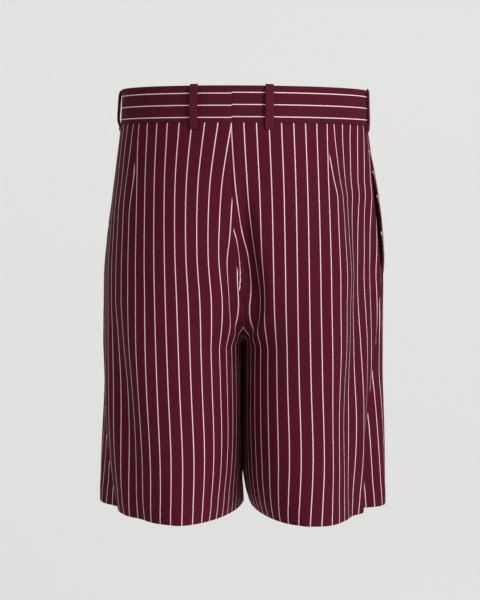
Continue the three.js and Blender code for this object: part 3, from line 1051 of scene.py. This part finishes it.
def button_place() -> Matrix:
    """Where the waistband's button sits, with its axis along the matrix's Z, in millimetres."""
    arc = float(seam_arc(np.array([-BUTTON_DROP]), Leg.LEFT, "front")[0]) - OVERLAP_LENGTH / 2
    heights = -BUTTON_DROP + np.array([0.0, BUTTON_RADIUS, -BUTTON_RADIUS, 0.0, 0.0])
    arcs = arc + np.array([0.0, 0.0, 0.0, BUTTON_RADIUS, -BUTTON_RADIUS])
    points = face_points(heights, Leg.LEFT, arcs, BAND_PROUD + BAND_CLOTH + 2 * SEAM)
    origin, top, low, right, left = (Vector(point) for point in points)
    upward, sideways = (top - low).normalized(), (right - left).normalized()
    outward = sideways.cross(upward).normalized()
    turn = Matrix((upward.cross(outward), upward, outward)).transposed().to_4x4()
    return Matrix.Translation(origin) @ turn


@dataclass
class Button:
    """The waistband's button: a turned disc with a rim and four holes that thread fills."""

    name: str = "Waistband_button"
    sides: int = 64

    def build(self) -> bpy.types.Object:
        """Make the disc.

        Returns:
            The button's object.
        """
        rim, face = BUTTON_RADIUS - BUTTON_RIM, BUTTON_HEIGHT - BUTTON_DISH
        profile = [
            (0, 0),
            (BUTTON_RADIUS - 1.5, 0),
            (BUTTON_RADIUS - 0.3, 0.9),
            (BUTTON_RADIUS, face),
            (BUTTON_RADIUS - 0.6, BUTTON_HEIGHT),
            (rim, BUTTON_HEIGHT),
            (rim - BUTTON_DISH, face),
            (0, face),
        ]
        shape = bmesh.new()
        rings = [shape.verts.new((radius, 0, height)) for radius, height in profile]
        edges = [shape.edges.new(pair) for pair in zip(rings, rings[1:])]
        bmesh.ops.spin(shape, geom=rings + edges, axis=(0, 0, 1), steps=self.sides, angle=2 * math.pi)
        bmesh.ops.remove_doubles(shape, verts=shape.verts, dist=0.001)
        bmesh.ops.recalc_face_normals(shape, faces=shape.faces)
        bmesh.ops.transform(shape, matrix=Matrix.Scale(MM, 4) @ button_place(), verts=shape.verts)
        return finished(self.name, shape)

    def thread(self) -> Iterable[Array]:
        """The four stitches of thread across the button's holes.

        Yields:
            The two ends of one stitch, in millimetres.
        """
        place = button_place()
        height = BUTTON_HEIGHT - BUTTON_DISH + 0.1
        for y in (-1.3, -0.8, 0.8, 1.3):
            yield np.array([place @ Vector((x, y, height)) for x in (-1.4, 1.4)])


class Graph:
    """A material and the nodes that are put into it."""

    def __init__(self, name: str) -> None:
        """Start the material.

        Args:
            name: Its name.
        """
        self.material = bpy.data.materials.new(name)
        self.material.use_nodes = True
        self.tree = self.material.node_tree
        self.shader = self.tree.nodes["Principled BSDF"]

    def node(self, kind: str, **settings: object) -> bpy.types.Node:
        """Add a node.

        Args:
            kind: Its type.
            **settings: Values of its attributes.

        Returns:
            The node.
        """
        made = self.tree.nodes.new(kind)
        for key, value in settings.items():
            setattr(made, key, value)
        return made

    def join(self, value: bpy.types.NodeSocket | float, target: bpy.types.NodeSocket) -> None:
        """Link a socket to another one, or set a number on it."""
        if isinstance(value, bpy.types.NodeSocket):
            self.tree.links.new(value, target)
        else:
            target.default_value = value

    def math(self, operation: str, *values: bpy.types.NodeSocket | float) -> bpy.types.NodeSocket:
        """Work out a number.

        Args:
            operation: Blender's name of the operation.
            *values: What it works on.

        Returns:
            The result's socket.
        """
        made = self.node("ShaderNodeMath", operation=operation)
        for value, target in zip(values, made.inputs):
            self.join(value, target)
        return made.outputs[0]

    def map(self, name: str) -> tuple[bpy.types.NodeSocket, bpy.types.NodeSocket]:
        """The two coordinates of a UV map."""
        split = self.node("ShaderNodeSeparateXYZ")
        self.tree.links.new(self.node("ShaderNodeUVMap", uv_map=name).outputs[0], split.inputs[0])
        return split.outputs[0], split.outputs[1]


@dataclass(frozen=True)
class ClothFinish:
    """A woven cloth, plain or pinstriped."""

    name: str
    ground: Colour
    shade: Colour
    stripe: Colour | None = None
    roughness: float = 0.8
    sheen: float = 0.025
    stripe_width: float = 0.95

    def mask(self, graph: Graph) -> bpy.types.NodeSocket:
        """How much of the pinstripe's thread shows at each place.

        Args:
            graph: The material's nodes.

        Returns:
            The share's socket.
        """
        across, along = graph.map("Cloth")
        dart, intake = graph.map("Dart")
        counted = graph.math("ADD", across, graph.math("MULTIPLY", intake, graph.math("GREATER_THAN", dart, 0.0)))
        share = graph.math("ABSOLUTE", graph.math("SUBTRACT", graph.math("FRACT", graph.math("ADD", counted, 0.5)), 0.5))
        soft = graph.node("ShaderNodeMapRange")
        graph.join(graph.math("MULTIPLY", share, WOVEN_PITCH), soft.inputs["Value"])
        half = self.stripe_width / 2
        for label, value in (("From Min", half - 0.15), ("From Max", half + 0.15), ("To Min", 1.0), ("To Max", 0.0)):
            soft.inputs[label].default_value = value
        dash = graph.math("SINE", graph.math("MULTIPLY", along, WOVEN_PITCH * math.tau / 1.1))
        return graph.math("MULTIPLY", soft.outputs[0], graph.math("MULTIPLY_ADD", dash, 0.1, 0.9))

    def material(self) -> bpy.types.Material:
        """Make the finish's material.

        Returns:
            The material.
        """
        graph = Graph(self.name)
        place = graph.node("ShaderNodeTexCoord").outputs["Object"]
        cloud = graph.node("ShaderNodeTexNoise")
        cloud.inputs["Scale"].default_value = 14.0
        graph.join(place, cloud.inputs["Vector"])
        ground = graph.node("ShaderNodeMix", data_type="RGBA")
        graph.join(cloud.outputs[0], ground.inputs["Factor"])
        ground.inputs[6].default_value, ground.inputs[7].default_value = self.ground, self.shade
        colour = ground.outputs[2]
        if self.stripe is not None:
            striped = graph.node("ShaderNodeMix", data_type="RGBA")
            graph.join(self.mask(graph), striped.inputs["Factor"])
            graph.join(colour, striped.inputs[6])
            striped.inputs[7].default_value = self.stripe
            colour = striped.outputs[2]
        graph.join(colour, graph.shader.inputs["Base Color"])
        graph.shader.inputs["Roughness"].default_value = self.roughness
        graph.shader.inputs["Specular IOR Level"].default_value = 0.06
        graph.shader.inputs["Sheen Weight"].default_value = self.sheen
        graph.shader.inputs["Sheen Roughness"].default_value = 0.5
        graph.shader.inputs["Sheen Tint"].default_value = (0.55, 0.12, 0.22, 1)
        self.weave(graph)
        return graph.material

    def weave(self, graph: Graph) -> None:
        """Add the weave's fine relief.

        Args:
            graph: The material's nodes.
        """
        across, along = graph.map("Cloth")
        warp = graph.math("SINE", graph.math("MULTIPLY", across, WOVEN_PITCH * math.tau / 0.7))
        weft = graph.math("SINE", graph.math("MULTIPLY", along, WOVEN_PITCH * math.tau / 0.7))
        bump = graph.node("ShaderNodeBump")
        bump.inputs["Strength"].default_value = 0.15
        bump.inputs["Distance"].default_value = 0.00012
        graph.join(graph.math("MULTIPLY", warp, weft), bump.inputs["Height"])
        graph.join(bump.outputs[0], graph.shader.inputs["Normal"])


@dataclass(frozen=True)
class PlainFinish:
    """A finish with one slightly uneven colour."""

    name: str
    ground: Colour
    shade: Colour
    roughness: float
    scale: float = 300.0

    def material(self) -> bpy.types.Material:
        """Make the finish's material.

        Returns:
            The material.
        """
        graph = Graph(self.name)
        cloud = graph.node("ShaderNodeTexNoise")
        cloud.inputs["Scale"].default_value = self.scale
        graph.join(graph.node("ShaderNodeTexCoord").outputs["Object"], cloud.inputs["Vector"])
        mixed = graph.node("ShaderNodeMix", data_type="RGBA")
        graph.join(cloud.outputs[0], mixed.inputs["Factor"])
        mixed.inputs[6].default_value, mixed.inputs[7].default_value = self.ground, self.shade
        graph.join(mixed.outputs[2], graph.shader.inputs["Base Color"])
        graph.shader.inputs["Roughness"].default_value = self.roughness
        return graph.material


PINSTRIPE = ClothFinish(
    "Pinstripe", (0.080, 0.0066, 0.0178, 1), (0.072, 0.0057, 0.0158, 1), (0.97, 0.69, 0.73, 1)
)
BAND_CLOTH_FINISH = ClothFinish(
    "Waistband_cloth", (0.073, 0.0080, 0.0170, 1), (0.067, 0.0071, 0.0152, 1), (0.97, 0.69, 0.73, 1)
)
PLAIN_CLOTH = ClothFinish("Plain_cloth", (0.090, 0.0092, 0.0250, 1), (0.082, 0.0082, 0.0225, 1))
POCKETING = ClothFinish("Pocketing", (0.022, 0.004, 0.008, 1), (0.018, 0.003, 0.007, 1), roughness=0.9)
SEWING_THREAD = PlainFinish("Sewing_thread", (0.07, 0.008, 0.018, 1), (0.055, 0.006, 0.014, 1), 0.7)
HORN = PlainFinish("Horn", (0.05, 0.012, 0.02, 1), (0.02, 0.006, 0.009, 1), 0.32)


@dataclass(frozen=True)
class Dressed:
    """A piece of the scene with the node it stands for, its slot, its finish and its cut."""

    part: Sheet | Thread | Button
    nodes: tuple[str, ...]
    slot: str
    finish: ClothFinish | PlainFinish
    flat: tuple[float, float] | None = None
    area: float | None = None

    def make(self, materials: dict[str, bpy.types.Material]) -> bpy.types.Object:
        """Build the piece, give it its finish's material, hang it under the root and hide the model's parts that it
        stands for.

        Args:
            materials: The materials by their finishes' names.

        Returns:
            The piece's object.
        """
        piece = self.part.build()
        piece.data.materials.append(materials[self.finish.name])
        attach(piece, "root")
        if self.nodes:
            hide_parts(*self.nodes)
        LOG.info("%s: %d faces", piece.name, len(piece.data.polygons))
        return piece


PANEL_CUTS = {
    (Leg.LEFT, Face.BACK): ((0.34, 0.485), 0.138),
    (Leg.RIGHT, Face.BACK): ((0.33, 0.485), 0.128),
    (Leg.LEFT, Face.FRONT): ((0.36, 0.485), 0.137),
    (Leg.RIGHT, Face.FRONT): ((0.37, 0.485), 0.147),
}
BAND_CUTS = {Leg.LEFT: (0.469, 0.086), Leg.RIGHT: (0.433, 0.086)}


def garment() -> list[Dressed]:
    """All the pieces of the shorts.

    Returns:
        The pieces, from the panels to the threads.
    """
    pieces = []
    tacks: list[Array] = []
    edges: list[Array] = []
    for leg in Leg:
        for face in Face:
            flat, area = PANEL_CUTS[leg, face]
            panel = Panel(f"{face.value.title()}_panel_{leg.value}", 84, 112, 1.1, leg=leg, face=face)
            node = f"{face.value}_panel_{leg.value}"
            pieces.append(Dressed(panel, (node,), "striped_cloth", PINSTRIPE, flat, area))
        band = Band(f"Waistband_{leg.value}", 150, 44, 0.8, leg=leg)
        pieces.append(
            Dressed(band, (f"waistband_{leg.value}",), "waistband_cloth", BAND_CLOTH_FINISH, BAND_CUTS[leg])
        )
        bag = PocketBag(f"Pocket_bag_{leg.value}", 30, 30, 1.0, leg=leg)
        pieces.append(Dressed(bag, (f"pocket_bag_{leg.value}",), "pocketing", POCKETING, (0.113, 0.205)))
        edges.extend(bag.stitching())
        tacks.extend(bag.tacks())
    for place, leg, distance, slack in LOOPS:
        title = f"belt_loop_{place}_{leg.value}"
        loop = BeltLoop(title.capitalize(), 10, 48, 1.5, leg=leg, place=place, distance=distance, slack=slack)
        pieces.append(Dressed(loop, (title,), "plain_cloth", PLAIN_CLOTH, (0.01, 0.053)))
        tacks.extend(loop.tacks())
    fly = Fly("Fly", 16, 50, 1.0)
    pieces.append(Dressed(fly, ("fly",), "striped_cloth", PINSTRIPE, (0.038, 0.156)))
    edges.extend(fly.stitching())
    button = Button()
    pieces.append(Dressed(button, ("waistband_button",), "button", HORN))
    pieces.append(Dressed(Thread("Edge_stitches", 0.45, edges), (), "plain_cloth", SEWING_THREAD))
    pieces.append(Dressed(Thread("Bar_tacks", 0.6, tacks), (), "plain_cloth", SEWING_THREAD))
    pieces.append(Dressed(Thread("Button_thread", 0.6, button.thread()), (), "plain_cloth", SEWING_THREAD))
    return pieces


@dataclass(frozen=True)
class Studio:
    """The pale floor that runs up into the backdrop, the lights and the camera, in metres."""

    floor_height: float = -0.9
    wall_distance: float = 2.6
    bend: float = 1.1
    glow: float = 0.6
    key_watts: float = 63.0
    fill_watts: float = 11.0
    sky: float = 0.3
    focal: float = 88.5
    distance: float = 1.8
    drop: float = 0.102
    pitch: float = 4.84
    roll: float = 0.33
    shift: float = -3.5 / 600

    def floor(self) -> None:
        """Make the floor and backdrop, one swept sheet."""
        shape = bmesh.new()
        course = [(-3.0, self.floor_height), (self.wall_distance - self.bend, self.floor_height)]
        for angle in np.linspace(0, math.pi / 2, 17)[1:]:
            y = self.wall_distance - self.bend + self.bend * math.sin(angle)
            course.append((y, self.floor_height + self.bend * (1 - math.cos(angle))))
        course.append((self.wall_distance, 3.5))
        line = [shape.verts.new((-4, y, z)) for y, z in course]
        edges = [shape.edges.new(pair) for pair in zip(line, line[1:])]
        swept = bmesh.ops.extrude_edge_only(shape, edges=edges)["geom"]
        moved = [item for item in swept if isinstance(item, bmesh.types.BMVert)]
        bmesh.ops.translate(shape, verts=moved, vec=(8, 0, 0))
        bmesh.ops.recalc_face_normals(shape, faces=shape.faces)
        floor = finished("Floor", shape)
        graph = Graph("Backdrop")
        graph.shader.inputs["Base Color"].default_value = (0.24, 0.24, 0.235, 1)
        graph.shader.inputs["Roughness"].default_value = 1.0
        graph.shader.inputs["Specular IOR Level"].default_value = 0.0
        graph.shader.inputs["Emission Color"].default_value = (1, 1, 0.985, 1)
        graph.shader.inputs["Emission Strength"].default_value = self.glow
        floor.data.materials.append(graph.material)

    def light(self, name: str, place: tuple[float, float, float], size: float, watts: float) -> None:
        """Make a soft light that faces the garment.

        Args:
            name: Its name.
            place: Where it stands.
            size: Its side.
            watts: Its power.
        """
        data = bpy.data.lights.new(name, "AREA")
        data.energy, data.size = watts, size
        lamp = bpy.data.objects.new(name, data)
        lamp.location = place
        lamp.rotation_euler = (Vector((0, 0, -0.25)) - Vector(place)).to_track_quat("-Z", "Y").to_euler()
        bpy.context.scene.collection.objects.link(lamp)

    def camera(self) -> None:
        """Make the camera, which looks at the back."""
        data = bpy.data.cameras.new("Camera")
        data.lens, data.sensor_width, data.shift_x = self.focal, 36.0, self.shift
        camera = bpy.data.objects.new("Camera", data)
        camera.location = (0, -self.distance, -self.drop)
        turn = Matrix.Rotation(math.radians(90 - self.pitch), 3, "X") @ Matrix.Rotation(math.radians(self.roll), 3, "Z")
        camera.rotation_euler = turn.to_euler()
        bpy.context.scene.collection.objects.link(camera)
        bpy.context.scene.camera = camera

    def build(self) -> None:
        """Make the whole studio."""
        self.floor()
        self.light("Key", (1.7, -2.0, 0.9), 1.4, self.key_watts)
        self.light("Fill", (-0.3, -2.8, 0.5), 1.8, self.fill_watts)
        world = bpy.data.worlds.new("World")
        world.use_nodes = True
        world.node_tree.nodes["Background"].inputs["Strength"].default_value = self.sky
        world.node_tree.nodes["Background"].inputs["Color"].default_value = (1, 1, 1, 1)
        bpy.context.scene.world = world
        bpy.context.scene.view_settings.view_transform = "Standard"
        self.camera()


def main() -> None:
    """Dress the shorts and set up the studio."""
    logging.basicConfig(level=logging.INFO, format="%(message)s")
    finishes = (PINSTRIPE, BAND_CLOTH_FINISH, PLAIN_CLOTH, POCKETING, SEWING_THREAD, HORN)
    materials = {finish.name: finish.material() for finish in finishes}
    for dressed in garment():
        dressed.make(materials)
    Studio().build()


if __name__ == "__main__":
    main()
